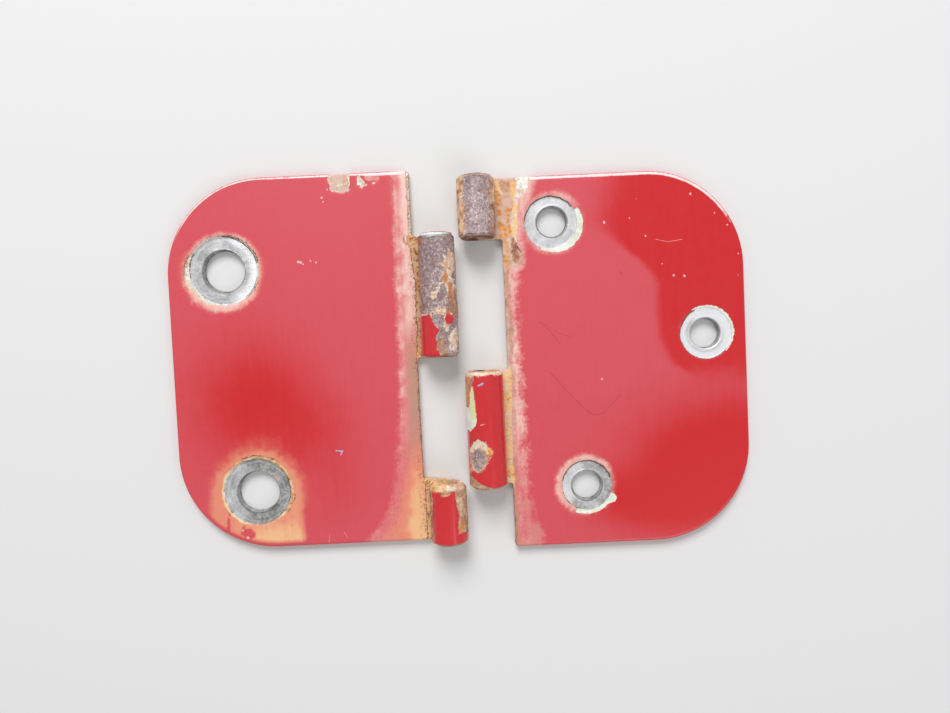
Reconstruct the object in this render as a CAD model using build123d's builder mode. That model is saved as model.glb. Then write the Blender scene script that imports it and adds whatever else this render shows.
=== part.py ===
"""An aircraft door hinge in two leaves, taken apart and laid side by side, in millimetres.

Each leaf is one steel sheet: a flat plate with screw holes, whose inner edge is notched and rolled
into two knuckles. +X runs from the left leaf to the right one, +Y along the pin axis towards the top
of the leaves, and +Z out of the painted front. The backs lie on Z = 0. The origin is on that plane,
in the middle of what the two leaves cover.
"""

import os
from math import acos, degrees

from build123d import *

# The sheet and the pin that it is rolled round
sheet = 1.63  # thickness of both leaves
pin_diameter = 3.175
bore_clearance = 0.065  # on the diameter, round the pin
seam_gap = 0.14  # between the end of the roll and the plate in front of it
knuckle_chamfer = 0.6  # at both ends of each knuckle, on the outside

# The plates
leaf_height = 63.5  # along the pin
left_plate = 42.0  # from the outer edge to the notched one
right_plate = 41.1
corner_radius = 16.5
front_round = 0.5  # round the painted edge
back_break = 0.2  # round the back edge

# Where one leaf's knuckle hands over to the other's, down from the top
upper_joint = 10.8
middle_joint = 32.2
lower_joint = 52.7
end_clearance = 0.3  # from each knuckle's end to the joint
swing_clearance = 0.9  # from the notched edge to the other leaf's knuckle
notch_radius = 0.4  # in the inner corners of the notches
filed_slant = 0.8  # taken off the free side of the left leaf's lower knuckle, at its top

# The left leaf's two large screw holes, from its outer edge and its top or bottom
large_hole = 6.75
left_upper_hole = (9.65, 15.55)
left_lower_hole = (13.4, 9.8)

# The right leaf's three smaller holes, from its notched or outer edge and its top or bottom
small_hole = 4.76
right_upper_hole = (8.6, 7.85)
right_outer_hole = (7.0, 28.0)
right_lower_hole = (12.8, 10.2)
hole_chamfer = 0.2

# How the leaves lie
lay_gap = 0.5  # between the two rows of knuckles
lay_step = 1.9  # how much lower the right leaf lies

# Worked out from the sizes above
bore_radius = (pin_diameter + bore_clearance) / 2
roll_radius = bore_radius + sheet
roll_angle = 360 - degrees(acos((bore_radius - seam_gap) / roll_radius))
notch_edge = roll_radius + swing_clearance  # from the pin axis to the plate in the notches
left_reach = notch_edge + left_plate  # from the pin axis to the outer edge
right_reach = notch_edge + right_plate

left_pin_x = (left_plate - right_plate - 2 * roll_radius - lay_gap) / 2
right_pin_x = left_pin_x + 2 * roll_radius + lay_gap
left_top = (leaf_height + lay_step) / 2
right_top = (leaf_height - lay_step) / 2

# The knuckles' ends, down from the top: the right leaf has the first and third of the four
right_knuckles = [
    (0, upper_joint - end_clearance),
    (middle_joint + end_clearance, lower_joint - end_clearance),
]
right_notches = [
    (right_knuckles[0][1], right_knuckles[1][0]),
    (right_knuckles[1][1], leaf_height),
]
left_knuckles = [
    (upper_joint + end_clearance, middle_joint - end_clearance),
    (lower_joint + end_clearance - filed_slant / 2, leaf_height),
]
left_notches = [
    (0, left_knuckles[0][0]),
    (left_knuckles[0][1], left_knuckles[1][0]),
]

os.makedirs("parts", exist_ok=True)


def is_round(radius):
    """A test for the circular edges of this radius."""
    return lambda edge: edge.geom_type == GeomType.CIRCLE and abs(edge.radius - radius) < 1e-4


def is_at(x, not_y):
    """A test for a sketch's vertices at this x, apart from those at not_y."""
    return lambda vertex: abs(vertex.X - x) < 1e-4 and abs(vertex.Y - not_y) > 1e-4


# Left leaf: the plate lies to the left of the pin axis, and the roll closes over it from the right
left_face = Plane((left_pin_x, left_top, 0))
left_down = Plane((left_pin_x, left_top, roll_radius), x_dir=(0, 0, -1), z_dir=(1, 0, 0))
left_roll_axis = Axis((left_pin_x, 0, roll_radius), (0, -1, 0))

with BuildPart() as left_leaf:
    # The flat of the sheet, with a tongue left standing for each knuckle
    with BuildSketch(left_face):
        with Locations((-left_reach, 0)):
            Rectangle(left_reach, leaf_height, align=(Align.MIN, Align.MAX))
        fillet(vertices().group_by(Axis.X)[0], radius=corner_radius)
        for start, end in left_notches:
            with Locations((-notch_edge, -start)):
                Rectangle(notch_edge, end - start, align=(Align.MIN, Align.MAX), mode=Mode.SUBTRACT)
        fillet(vertices().filter_by(is_at(-notch_edge, not_y=0)), radius=notch_radius)
    extrude(amount=sheet)

    # Its outer edge, from the upper notch round to the lower knuckle
    plate_end = left_pin_x - notch_edge - notch_radius
    fillet(edges().filter_by(lambda e: e.center().X < plate_end).group_by(Axis.Z)[-1], front_round)
    chamfer(edges().filter_by(lambda e: e.center().X < plate_end).group_by(Axis.Z)[0], back_break)

    with Locations(left_face):
        with Locations(
            (left_upper_hole[0] - left_reach, -left_upper_hole[1]),
            (left_lower_hole[0] - left_reach, left_lower_hole[1] - leaf_height),
        ):
            Hole(radius=large_hole / 2)
    chamfer(edges().filter_by(is_round(large_hole / 2)).group_by(Axis.Z)[-1], hole_chamfer)

    # The tongues rolled round the pin, from straight below it until they meet the plate again
    for start, end in left_knuckles:
        with BuildSketch(left_down):
            with Locations((bore_radius, -end)):
                Rectangle(sheet, end - start, align=(Align.MIN, Align.MIN))
            chamfer(vertices().group_by(Axis.X)[-1], knuckle_chamfer)
        revolve(axis=left_roll_axis, revolution_arc=roll_angle)

    # The top of the lower knuckle is filed out of square
    with BuildSketch(left_face):
        with BuildLine():
            knuckle_top = -left_knuckles[1][0]
            Polyline(
                (-notch_edge, knuckle_top),
                (roll_radius, knuckle_top - filed_slant),
                (roll_radius, knuckle_top),
                close=True,
            )
        make_face()
    extrude(amount=2 * roll_radius, mode=Mode.SUBTRACT)

left_leaf.part.label = "left_leaf"
export_step(left_leaf.part, "parts/left_leaf.step")


# Right leaf: the plate lies to the right of the pin axis, and the roll closes over it from the left
right_face = Plane((right_pin_x, right_top, 0))
right_down = Plane((right_pin_x, right_top, roll_radius), x_dir=(0, 0, -1), z_dir=(1, 0, 0))
right_roll_axis = Axis((right_pin_x, 0, roll_radius), (0, 1, 0))

with BuildPart() as right_leaf:
    with BuildSketch(right_face):
        Rectangle(right_reach, leaf_height, align=(Align.MIN, Align.MAX))
        fillet(vertices().group_by(Axis.X)[-1], radius=corner_radius)
        for start, end in right_notches:
            with Locations((0, -start)):
                Rectangle(notch_edge, end - start, align=(Align.MIN, Align.MAX), mode=Mode.SUBTRACT)
        fillet(vertices().filter_by(is_at(notch_edge, not_y=-leaf_height)), radius=notch_radius)
    extrude(amount=sheet)

    # Its outer edge, from the upper knuckle round to the lower notch
    plate_end = right_pin_x + notch_edge + notch_radius
    fillet(edges().filter_by(lambda e: e.center().X > plate_end).group_by(Axis.Z)[-1], front_round)
    chamfer(edges().filter_by(lambda e: e.center().X > plate_end).group_by(Axis.Z)[0], back_break)

    with Locations(right_face):
        with Locations(
            (notch_edge + right_upper_hole[0], -right_upper_hole[1]),
            (right_reach - right_outer_hole[0], -right_outer_hole[1]),
            (notch_edge + right_lower_hole[0], right_lower_hole[1] - leaf_height),
        ):
            Hole(radius=small_hole / 2)
    chamfer(edges().filter_by(is_round(small_hole / 2)).group_by(Axis.Z)[-1], hole_chamfer)

    for start, end in right_knuckles:
        with BuildSketch(right_down):
            with Locations((bore_radius, -end)):
                Rectangle(sheet, end - start, align=(Align.MIN, Align.MIN))
            chamfer(vertices().group_by(Axis.X)[-1], knuckle_chamfer)
        revolve(axis=right_roll_axis, revolution_arc=roll_angle)

right_leaf.part.label = "right_leaf"
export_step(right_leaf.part, "parts/right_leaf.step")
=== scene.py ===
"""An aircraft door hinge in two leaves, taken apart and laid side by side on a pale floor."""

from itertools import product

import bpy
import numpy as np
from mathutils import Matrix, Vector


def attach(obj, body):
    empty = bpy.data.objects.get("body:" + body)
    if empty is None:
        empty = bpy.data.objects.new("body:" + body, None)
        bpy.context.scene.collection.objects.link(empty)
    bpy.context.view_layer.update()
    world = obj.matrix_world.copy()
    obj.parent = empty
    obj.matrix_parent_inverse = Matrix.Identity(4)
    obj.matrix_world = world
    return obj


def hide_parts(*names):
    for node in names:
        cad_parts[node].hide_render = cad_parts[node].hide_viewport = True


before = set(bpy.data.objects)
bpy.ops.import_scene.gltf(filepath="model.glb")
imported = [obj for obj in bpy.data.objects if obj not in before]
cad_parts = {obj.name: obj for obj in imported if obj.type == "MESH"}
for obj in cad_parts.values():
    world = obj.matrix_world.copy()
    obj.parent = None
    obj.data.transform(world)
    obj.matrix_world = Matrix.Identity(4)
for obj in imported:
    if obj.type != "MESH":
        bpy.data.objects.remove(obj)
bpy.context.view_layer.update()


# The camera stands 115 mm above the leaves with a short lens, as close as the photograph was taken.
# It looks straight down but for two degrees, and is turned a little on its own axis.
film_width = 36  # mm
focal_pixels, picture_width = 665, 950
tilt, twist = -0.037, -0.0464  # radians
camera_data = bpy.data.cameras.new("camera")
camera_data.sensor_width = film_width
camera_data.lens = film_width * focal_pixels / picture_width
camera_data.clip_start = 0.002
camera = bpy.data.objects.new("camera", camera_data)
camera.location = (0.002615, 0.00481, 0.11539)
camera.rotation_euler = (Matrix.Rotation(tilt, 3, "X") @ Matrix.Rotation(twist, 3, "Z")).to_euler()
bpy.context.collection.objects.link(camera)
bpy.context.scene.camera = camera


# A pale matt table top, wide enough for a low view, and soft daylight from a window beyond the
# leaves' top edge, with a weaker one opposite and an even sky for the shadows.
def flat_sheet(name, half, z):
    """A square of four corners at height z, half is half its side."""
    corners = np.array([(-1, -1), (1, -1), (1, 1), (-1, 1)]) * half
    mesh = bpy.data.meshes.new(name)
    mesh.from_pydata(np.column_stack((corners, np.full(4, z))), [], [(0, 1, 2, 3)])
    sheet = bpy.data.objects.new(name, mesh)
    bpy.context.collection.objects.link(sheet)
    return sheet


floor = flat_sheet("floor", 1.5, -0.00003)  # just clear of the leaves' backs
floor_paint = bpy.data.materials.new("pale_matt_floor")
floor_paint.use_nodes = True
floor_shader = floor_paint.node_tree.nodes["Principled BSDF"]
floor_shader.inputs["Base Color"].default_value = (0.78, 0.78, 0.78, 1)
floor_shader.inputs["Roughness"].default_value = 0.9
floor_shader.inputs["Specular IOR Level"].default_value = 0.1
floor.data.materials.append(floor_paint)


def window(name, place, size, watts):
    """A square soft light at a place, facing the leaves."""
    light = bpy.data.lights.new(name, "AREA")
    light.shape = "SQUARE"
    light.size = size
    light.energy = watts
    lamp = bpy.data.objects.new(name, light)
    lamp.location = place
    lamp.rotation_euler = Vector(place).normalized().to_track_quat("Z", "Y").to_euler()
    bpy.context.collection.objects.link(lamp)


window("window", (-0.06, 0.48, 0.46), 0.30, 3.4)
window("far_window", (0.28, -0.42, 0.45), 0.40, 0.7)

world = bpy.data.worlds.new("even_sky")
bpy.context.scene.world = world
world.use_nodes = True
sky = world.node_tree.nodes["Background"]
sky.inputs["Color"].default_value = (1, 1, 1, 1)
sky.inputs["Strength"].default_value = 0.46

view = bpy.context.scene.view_settings
view.view_transform = "Standard"


# Left leaf: one steel sheet, stamped with two large screw holes, its notched inner edge rolled into
# two knuckles. Red gloss enamel over pale green primer, worn off where the screws and the pin sat.
# It is modelled as it is made: a flat blank with tongues, which are then rolled round the pin.
sheet = 1.63  # thickness, in mm like all sizes here
roll = 3.25  # outer radius of the knuckles
full_roll = 5.1854  # how far the sheet turns round the pin, in radians
height = 63.5
corner = 16.5  # radius of the plate's outer corners
notch = 4.15  # from the pin's axis to the plate, in a gap between knuckles
front_round, back_break, end_chamfer = 0.5, 0.2, 0.6  # the plate's two edges and the knuckles' ends
sharp = 0.1  # what any other edge is broken by
cell = 0.27  # about the side of a cell of the mesh
rim = 0.75  # how far in from the blank's outline its even grid stops


def lines(stops, steps):
    """Lines through every stop, and evenly between two stops at about that step."""
    runs = [np.linspace(a, b, max(round((b - a) / step), 1), endpoint=False)
            for a, b, step in zip(stops, stops[1:], steps)]
    return np.concatenate(runs + [[stops[-1]]])


def softened(values, passes):
    """Each value of a closed path moved to the mean of itself and its neighbours, some times over."""
    for _ in range(passes):
        values = (np.roll(values, 1, 0) + 2 * values + np.roll(values, -1, 0)) / 4
    return values


def blank(reach, joints, tongue_first, screws):
    """The closed skin of a leaf's flat blank, all from three surfaces that share their edges.

    A corner is (s, v, w): s outwards from the pin axis, and negative along a tongue, v down from the
    leaf's top, w up through the sheet from its back. Front and back are one even grid of lines, and
    in a rounded corner the grid point (a, b) of the square goes to (a sqrt(1 - b²/2),
    b sqrt(1 - a²/2)) of the quarter circle. A profile carried along the outline closes the sheet
    round its edge, and another one round each screw hole, which is given by its place (s, v), the
    radii of the hole and of the seat, and half the side of the block of grid that it takes up.
    Returns the corners and the quads.
    """
    tongues = [tongue_first, not tongue_first, tongue_first, not tongue_first]
    ends = [j + rim * (1 if tongues[k + 1] else -1) for k, j in enumerate(joints)]
    tip = -full_roll * roll
    root = 9.5  # out to here the cells are finer, for the crust beside the knuckles
    s = lines([tip + rim, 0, notch + rim, root, reach - rim], [0.3, cell, 0.24, 0.34])
    v = lines([rim, *ends, height - rim], [0.3] * 4)
    plate = int(np.searchsorted(s, notch + rim - 1e-6))
    stops = [0] + [int(np.searchsorted(v, e - 1e-6)) for e in ends] + [len(v) - 1]
    last = len(s) - 1, len(v) - 1

    # the grid, with its two outer corners rounded: core is the nearest point that no corner takes up
    flat = np.stack(np.meshgrid(s, v, indexing="ij"), -1)
    inmost, outmost = (-99, corner), (reach - corner, height - corner)
    core = np.clip(flat, inmost, outmost)
    a, b = np.moveaxis((flat - core) / (corner - rim), -1, 0)
    rounded = np.stack((a * np.sqrt(1 - b * b / 2), b * np.sqrt(1 - a * a / 2)), -1)
    flat = core + (corner - rim) * rounded
    ids = np.arange(len(s) * len(v)).reshape(len(s), len(v))
    cells = np.ones(last, bool)
    for tongue, j0, j1 in zip(tongues, stops, stops[1:]):
        cells[:plate, j0:j1] = tongue

    def run(i0, j0, i1, j1):
        """The grid points from one corner of a path up to the next one, without that."""
        n = max(abs(i1 - i0), abs(j1 - j0))
        t = np.arange(n)
        return np.stack((i0 + (i1 - i0) // n * t, j0 + (j1 - j0) // n * t))

    # round each hole, a block of cells gives way to rings
    points, quads = [], []
    count = 2 * ids.size

    def band(path, rows):
        """Quads from the front's path over the rows of new points to the back's."""
        nonlocal count
        rows = np.array(rows)
        new = count + np.arange(rows.shape[0] * rows.shape[1]).reshape(rows.shape[:2])
        count += new.size
        points.append(rows.reshape(-1, 3))
        grid = np.vstack((ids[tuple(path)], new, ids[tuple(path)] + ids.size))
        side = np.roll(grid, -1, 1)
        quads.append(np.stack((grid[:-1], side[:-1], side[1:], grid[1:]), -1).reshape(-1, 4))

    for hole_s, hole_v, hole, seat, block in screws:
        i0, i1 = np.searchsorted(s, (hole_s - block, hole_s + block))
        j0, j1 = np.searchsorted(v, (hole_v - block, hole_v + block))
        cells[i0:i1, j0:j1] = False
        path = np.hstack([
            run(i0, j0, i1, j0), run(i1, j0, i1, j1), run(i1, j1, i0, j1), run(i0, j1, i0, j0)])
        out = flat[tuple(path)] - (hole_s, hole_v)
        far = np.hypot(*out.T)
        out /= far[:, None]
        clear = seat + 0.6  # the rings are round from here inwards
        steps = round((clear - hole) / cell)
        rows = [(clear + (far - clear) * t, sheet) for t in (0.8, 0.6, 0.4, 0.2)]
        rows += [(r + 0 * far, sheet) for r in np.linspace(clear, hole + 0.26, steps)]
        rows += [(hole + e + 0 * far, h) for e, h in (
            (0.2, sheet), (0.1, sheet - 0.1), (0, sheet - 0.2), (0, sheet - 0.27), (0, 1.0), (0, 0.5),
            (0, 0.07), (0, 0), (0.07, 0), (0.5, 0), (1.2, 0), (2.2, 0))]
        rows += [(clear + (far - clear) * t, 0) for t in (0.1, 0.5)]
        band(path, [np.column_stack((out * r[:, None] + (hole_s, hole_v), 0 * r + h)) for r, h in rows])

    # the outline: down the notched edge, along the bottom, up the outer edge and back along the top
    runs, normals = [], []
    column = [0 if t else plate for t in tongues]
    for k, (j0, j1) in enumerate(zip(stops, stops[1:])):
        if k:
            runs.append(run(column[k - 1], j0, column[k], j0))
            normals.append(np.tile((0.0, -1.0 if tongues[k] else 1.0), (runs[-1].shape[1], 1)))
        runs.append(run(column[k], j0, column[k], j1))
        normals.append(np.tile((-1.0, 0.0), (runs[-1].shape[1], 1)))
    runs.append(np.hstack([
        run(column[3], last[1], *last), run(*last, last[0], 0), run(last[0], 0, column[0], 0)]))
    outer = flat[tuple(runs[-1])]
    outer = outer - np.clip(outer, inmost, outmost)
    normals.append(outer / np.hypot(*outer.T)[:, None])

    # a corner leans both ways, and its neighbours share the lean with it
    shared = 2.4
    leans = []
    for k, (these, normal) in enumerate(zip(runs, normals)):
        following = (k + 1) % len(runs)
        here = flat[tuple(these)]
        before = np.hypot(*(here - here[0]).T)
        after = np.hypot(*(here - flat[tuple(runs[following][:, 0])]).T)
        lean = normal + normals[k - 1][-1] * np.clip(1 - before / shared, 0, 1)[:, None]
        leans.append(lean + normals[following][0] * np.clip(1 - after / shared, 0, 1)[:, None])
    path = np.hstack(runs)
    inner = flat[tuple(path)]
    edge = softened(inner + rim * np.vstack(leans), 3)

    # its profile: the front edge is rounded and the back edge chamfered, by sizes that change on the way
    is_outer = np.repeat(np.arange(len(runs)) == len(runs) - 1, [r.shape[1] for r in runs])
    is_tip = np.abs(inner[:, 0] - s[0]) < 1e-6
    on_roll = (inner[:, 0] < 0) & ~is_tip
    front = softened(np.where(on_roll | is_tip, sharp, np.where(is_outer, front_round, 0.14)), 4)
    back = softened(np.where(on_roll, end_chamfer, np.where(is_outer, back_break, sharp)), 4)
    profile = [(front + 0.08, sheet + 0 * front)]
    profile += [(front * (1 - np.sin(t)), sheet - front * (1 - np.cos(t)))
                for t in np.radians((0, 18, 36, 54, 72, 90))]
    wall = sheet - front - back
    profile += [(0 * front, back + wall * t) for t in (0.92, 0.66, 0.33, 0.08, 0)]
    profile += [(back / 2, back / 2), (back, 0 * back), (back + 0.06, 0 * back)]
    band(path, [np.column_stack((inner + (edge - inner) * (1 - e / rim)[:, None], h)) for e, h in profile])

    i, j = np.nonzero(cells)
    front_quads = np.stack((ids[i, j], ids[i + 1, j], ids[i + 1, j + 1], ids[i, j + 1]), -1)
    quads = np.vstack([front_quads, front_quads[:, ::-1] + ids.size] + quads)
    flat = flat.reshape(-1, 2)
    grid = [np.column_stack((flat, np.full(len(flat), h))) for h in (sheet, 0)]
    used, quads = np.unique(quads, return_inverse=True)
    return np.vstack(grid + points)[used], quads.reshape(-1, 4)


def rolled(s, w):
    """Where the sheet comes to lie, as (u, z): flat for s > 0, and past the pin's foot a point at height
    w in the sheet goes round the pin by the angle -s / roll, at the radius roll - w."""
    turn = np.maximum(-s, 0) / roll
    return np.maximum(s, 0) - (roll - w) * np.sin(turn), roll - (roll - w) * np.cos(turn)


def cloud(p, size, seed):
    """Smooth noise from -1 to 1: the corners of a lattice of that size get random values, and a point
    blends the eight round it by 3t² - 2t³ of its place between them."""
    values = np.random.default_rng(seed).uniform(-1, 1, (64, 64, 64))
    cell, t = np.divmod(p / size + 512, 1)
    cell, t = cell.astype(int), t * t * (3 - 2 * t)
    total = 0
    for at in product((0, 1), repeat=3):
        share = np.prod(np.where(at, t, 1 - t), -1)
        total = total + share * values[tuple(((cell + at) % 64).T)]
    return total


def ragged(p, size, seed):
    """Three clouds on top of each other, each half the size and half the strength of the last."""
    return sum(cloud(p, size / 2 ** k, seed + k) / 2 ** k for k in range(3)) / 1.75


def spot(x, y, cx, cy, rx, ry, turn=0):
    """About how far a point is inside an ellipse, in mm, negative outside."""
    c, s = np.cos(np.radians(turn)), np.sin(np.radians(turn))
    dx, dy = x - cx, y - cy
    return (1 - np.hypot((dx * c + dy * s) / rx, (dy * c - dx * s) / ry)) * min(rx, ry)


def cut(x, y, *outline):
    """How far a point is inside an outline of straight sides without a dent, in mm, given clockwise on
    the page: its least distance from the line through a side and the next."""
    inward = []
    for (ax, ay), (bx, by) in zip(outline, outline[1:] + outline[:1]):
        inward.append(((x - ax) * (by - ay) - (y - ay) * (bx - ax)) / np.hypot(bx - ax, by - ay))
    return np.minimum.reduce(inward)


def stroke(x, y, width, *points):
    """How far a point is inside a bent line of that half width, in mm."""
    gaps = []
    for (ax, ay), (bx, by) in zip(points, points[1:]):
        t = np.clip(((x - ax) * (bx - ax) + (y - ay) * (by - ay)) / ((bx - ax) ** 2 + (by - ay) ** 2), 0, 1)
        gaps.append(np.hypot(x - ax - t * (bx - ax), y - ay - t * (by - ay)))
    return width - np.minimum.reduce(gaps)


def fade(value, low, high):
    """0 up to low, 1 from high, and smooth between."""
    t = np.clip((value - low) / (high - low), 0, 1)
    return t * t * (3 - 2 * t)


def bloom(x, y, cx, cy, rx, ry, turn=0):
    """1 in the middle of an ellipse, and exp(-2 r²) at r times its size, so about an eighth on its edge."""
    return np.exp(-2 * (1 - spot(x, y, cx, cy, rx, ry, turn) / min(rx, ry)) ** 2)


def arc(angle, first, last, ramp=8):
    """1 between two angles in degrees, counted anticlockwise from +X, with a ramp outside both."""
    middle, half = (first + last) / 2, (last - first) / 2
    return fade(half + ramp - np.abs((angle - middle + 180) % 360 - 180), 0, ramp)


def along(value, stops, levels):
    """A level that changes evenly from stop to stop of a value, in any order of the stops."""
    order = np.argsort(stops)
    return np.interp(value, np.array(stops)[order], np.array(levels)[order])


def spokes(angle, far, seed):
    """Noise that is drawn out along the rays from a hole's middle."""
    t = np.radians(angle)
    return ragged(np.column_stack((6 * np.cos(t), 6 * np.sin(t), far / 5)), 0.9, seed)


def ring(far, radius, width):
    """1 up to a radius from a hole's middle, and exp(-(t / width)²) at t beyond it."""
    return np.exp(-(np.maximum(far - radius, 0) / width) ** 2)


def seen_from(x, y, cx, cy):
    """How far a point is from a hole's middle in mm, and in which direction, in degrees from +X."""
    return np.hypot(x - cx, y - cy), np.degrees(np.arctan2(y - cy, x - cx))


def sides(s, v, w, reach):
    """Where the points of a blank come to lie: how far each has turned round the pin in degrees, if it
    is on a roll, on the sheet's outside and under the plate, how far it is in from the outer edge, and
    how much that edge faces the leaf's top."""
    turn = np.degrees(np.maximum(-s, 0) / roll)
    on_roll, outside = s < 0, w < 1.0
    under = (w < 0.3) & ~on_roll
    out_s = np.maximum(s - reach + corner, 0)
    out_v = np.maximum(np.abs(v - height / 2) - height / 2 + corner, 0)
    edge = corner - np.hypot(out_s, out_v)
    facing_up = np.where(v < height / 2, out_v, -out_v) / np.maximum(corner - edge, 0.1)
    return turn, on_roll, outside, under, edge, facing_up


def knuckle_ends(on_roll, v, w, places):
    """If a point is on a knuckle's end, within 0.03 mm of one of those places down from the top, and
    not on the chamfer round it."""
    return on_roll & (w > 0.58) & (np.minimum.reduce([np.abs(v - p) for p in places]) < 0.03)


def let_in(on_roll, bare, crust, worn, seat, fine, pits):
    """How far the surface lies below the enamel's, in mm: by the coats that are missing, by the crust's
    and the dull steel's roughness, and a little where the enamel is thin."""
    depth = np.where(on_roll, 0.08, 0.2) * fade(bare, -0.12, 0.12)
    depth = depth + 0.08 * fade(crust, -0.3, 0.5) * (1 + fine) + 0.03 * worn
    return depth + 0.05 * fade(bare, 0, 0.3) * (1 - np.minimum(seat, 1)) * (1 + pits)


def leaf_mesh(name, corners, quads, coats, depth):
    """A mesh from corners in mm, each let in along its normal by its depth, with the coats as values
    that it holds for every corner."""
    mesh = bpy.data.meshes.new(name)
    mesh.from_pydata(corners / 1000, [], quads)
    mesh.shade_smooth()
    normals = np.empty(corners.size)
    mesh.vertex_normals.foreach_get("vector", normals)
    corners = corners - normals.reshape(-1, 3) * depth[:, None]
    mesh.vertices.foreach_set("co", (corners / 1000).ravel())
    for coat, values in coats.items():
        attribute = mesh.attributes.new(coat, "FLOAT", "POINT")
        attribute.data.foreach_set("value", np.ascontiguousarray(values, np.float32))
    mesh.update()
    leaf = bpy.data.objects.new(name, mesh)
    bpy.context.collection.objects.link(leaf)
    return leaf


left_pin, left_top, left_reach = -3.05, 32.7, 46.15
left_joints = (11.1, 31.9, 52.6)  # where its knuckles begin and end, down from the top
large_hole = 3.375  # radius
left_screws = [(left_reach - 9.65, 15.55, large_hole, 5.95, 8.0),
               (left_reach - 13.4, height - 9.8, large_hole, 5.9, 8.0)]
corners, quads = blank(left_reach, left_joints, False, left_screws)
s, v, w = corners.T
u, z = rolled(s, w)
filed = 0.8 * np.clip((notch - u) / (notch + roll), 0, 1)  # the lower knuckle's top is out of square
v = v + filed * fade(v, 50, 52) * fade(-v, -60, -53.5)
x, y = left_pin - u, left_top - v
place = np.column_stack((x, y, z))
turn, on_roll, outside, under, edge, facing_up = sides(s, v, w, left_reach)
lower = v > 42
ends = knuckle_ends(on_roll, v, w, (*left_joints[:2], height))

# Every coat is a mask: how far a point is inside the coat's outline, in mm. The outlines are drawn in
# x and y on the plate and in u and v on the knuckles, and two clouds make them ragged. The other
# values say how a coat looks there, from about 0 to 1: how rusty, how pale, how stained, how dirty.
# Some of them also carry painted light: a painted reflection in the enamel, painted highlights on the
# rounded top edges and chamfers, and painted shadows and shade at the enamel's edges and knuckle ends.
rough = ragged(place, 1.6, 1)
fine = ragged(place, 0.7, 5)
(upper_screw, upper_turn), (lower_screw, lower_turn) = [
    seen_from(x, y, left_pin - hole_s, left_top - hole_v) for hole_s, hole_v, *_ in left_screws]
screw = np.minimum(upper_screw, lower_screw)
# a painted highlight along the rounded edges that face the leaf's top, partly enamel worn pale there
glint = fade(edge, 0.14, 0.26) * fade(w, 1.0, 1.3)
lip_wear_and_highlight = glint * fade(0.52 + 0.22 * fade(x, -17, -13) - edge, 0, 0.14)  # along the rounded edge of the front
lip_wear_and_highlight = lip_wear_and_highlight * fade(facing_up, 0.25, 0.7)

# the red that is left on the knuckles
red_edge = along(v, (24.5, 26.2, 27.1, 28.7, 30.2, 31.7), (1.7, 0.8, -0.1, 0.5, 0.6, -0.4))
first_red = np.maximum(np.minimum(u - red_edge, v - 24.7), spot(u, v, -1.8, 25.5, 0.8, 0.9))
first_red = np.where(ends, -1, first_red + 0.15 * rough + 0.15 * fine)
red_edge = along(v, (54.2, 56.9, 58.2, 60.4, 61.2, 61.7), (-1.3, -1.5, -1.9, -1.5, -2.2, -3.6))
second_red = np.minimum.reduce([u - red_edge, 2.55 - u, v - 54.1]) + 0.15 * rough + 0.15 * fine
chips = np.maximum.reduce([
    spot(u, v, 0.2, 54.5, 0.9, 0.5, 20), spot(u, v, 1.1, 63.4, 0.7, 0.35), spot(u, v, -1.2, 63.4, 1.3, 0.4)])
chips = chips + 0.3 * fine
second_red = np.where((turn > 75) & ~ends, np.minimum(second_red, -chips), -1)

# cream flakes of primer and rust on the upper knuckle
flakes = np.maximum.reduce([
    spot(u, v, -2.3, 16.6, 1.0, 1.8), spot(u, v, -1.7, 19.0, 1.0, 1.6), spot(u, v, -2.4, 20.8, 0.9, 1.2),
    spot(u, v, 0.5, 21.5, 2.2, 0.35, 57), spot(u, v, -0.7, 24.2, 1.1, 0.5), spot(u, v, -2.4, 29.0, 0.7, 2.6),
    spot(u, v, -1.4, 27.2, 0.5, 1.0), spot(u, v, -2.9, 24.0, 0.5, 2.2)]) + 0.4 * rough + 0.8 * fine

# bare metal: the two screws' seats, the back, the upper knuckle and the insides of both
lower_seat = 5.7 - 0.12 * np.cos(np.radians(lower_turn))
seats = np.maximum(5.85 - upper_screw, lower_seat - lower_screw) + 0.12 * fine
bare = np.where(under, edge - 1.2 + 0.5 * rough, seats)
bare = np.where(on_roll, np.where(lower, -1.0, np.minimum(-first_red, -flakes)), bare)
hidden = on_roll & (~outside | (turn > 292) | (turn < 35)) & ((v < 50) | (v > 54.6)) & ~ends
bare = np.where(hidden, 1.0, np.where(ends, -1, bare))

# two chips on the top edge, down to grey and beige
gaps = np.maximum.reduce([
    cut(x, y, (-21.0, 34), (-17.2, 34), (-17.3, 29.6), (-18.9, 29.2), (-20.4, 29.7), (-20.9, 31)),
    cut(x, y, (-16.0, 32.3), (-15.4, 32.3), (-14.4, 30.8), (-15.1, 29.9), (-16.2, 30.6)),
    cut(x, y, (-15.0, 30.7), (-13.2, 30.8), (-15.0, 30.1))]) + 0.12 * rough + 0.15 * fine

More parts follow.
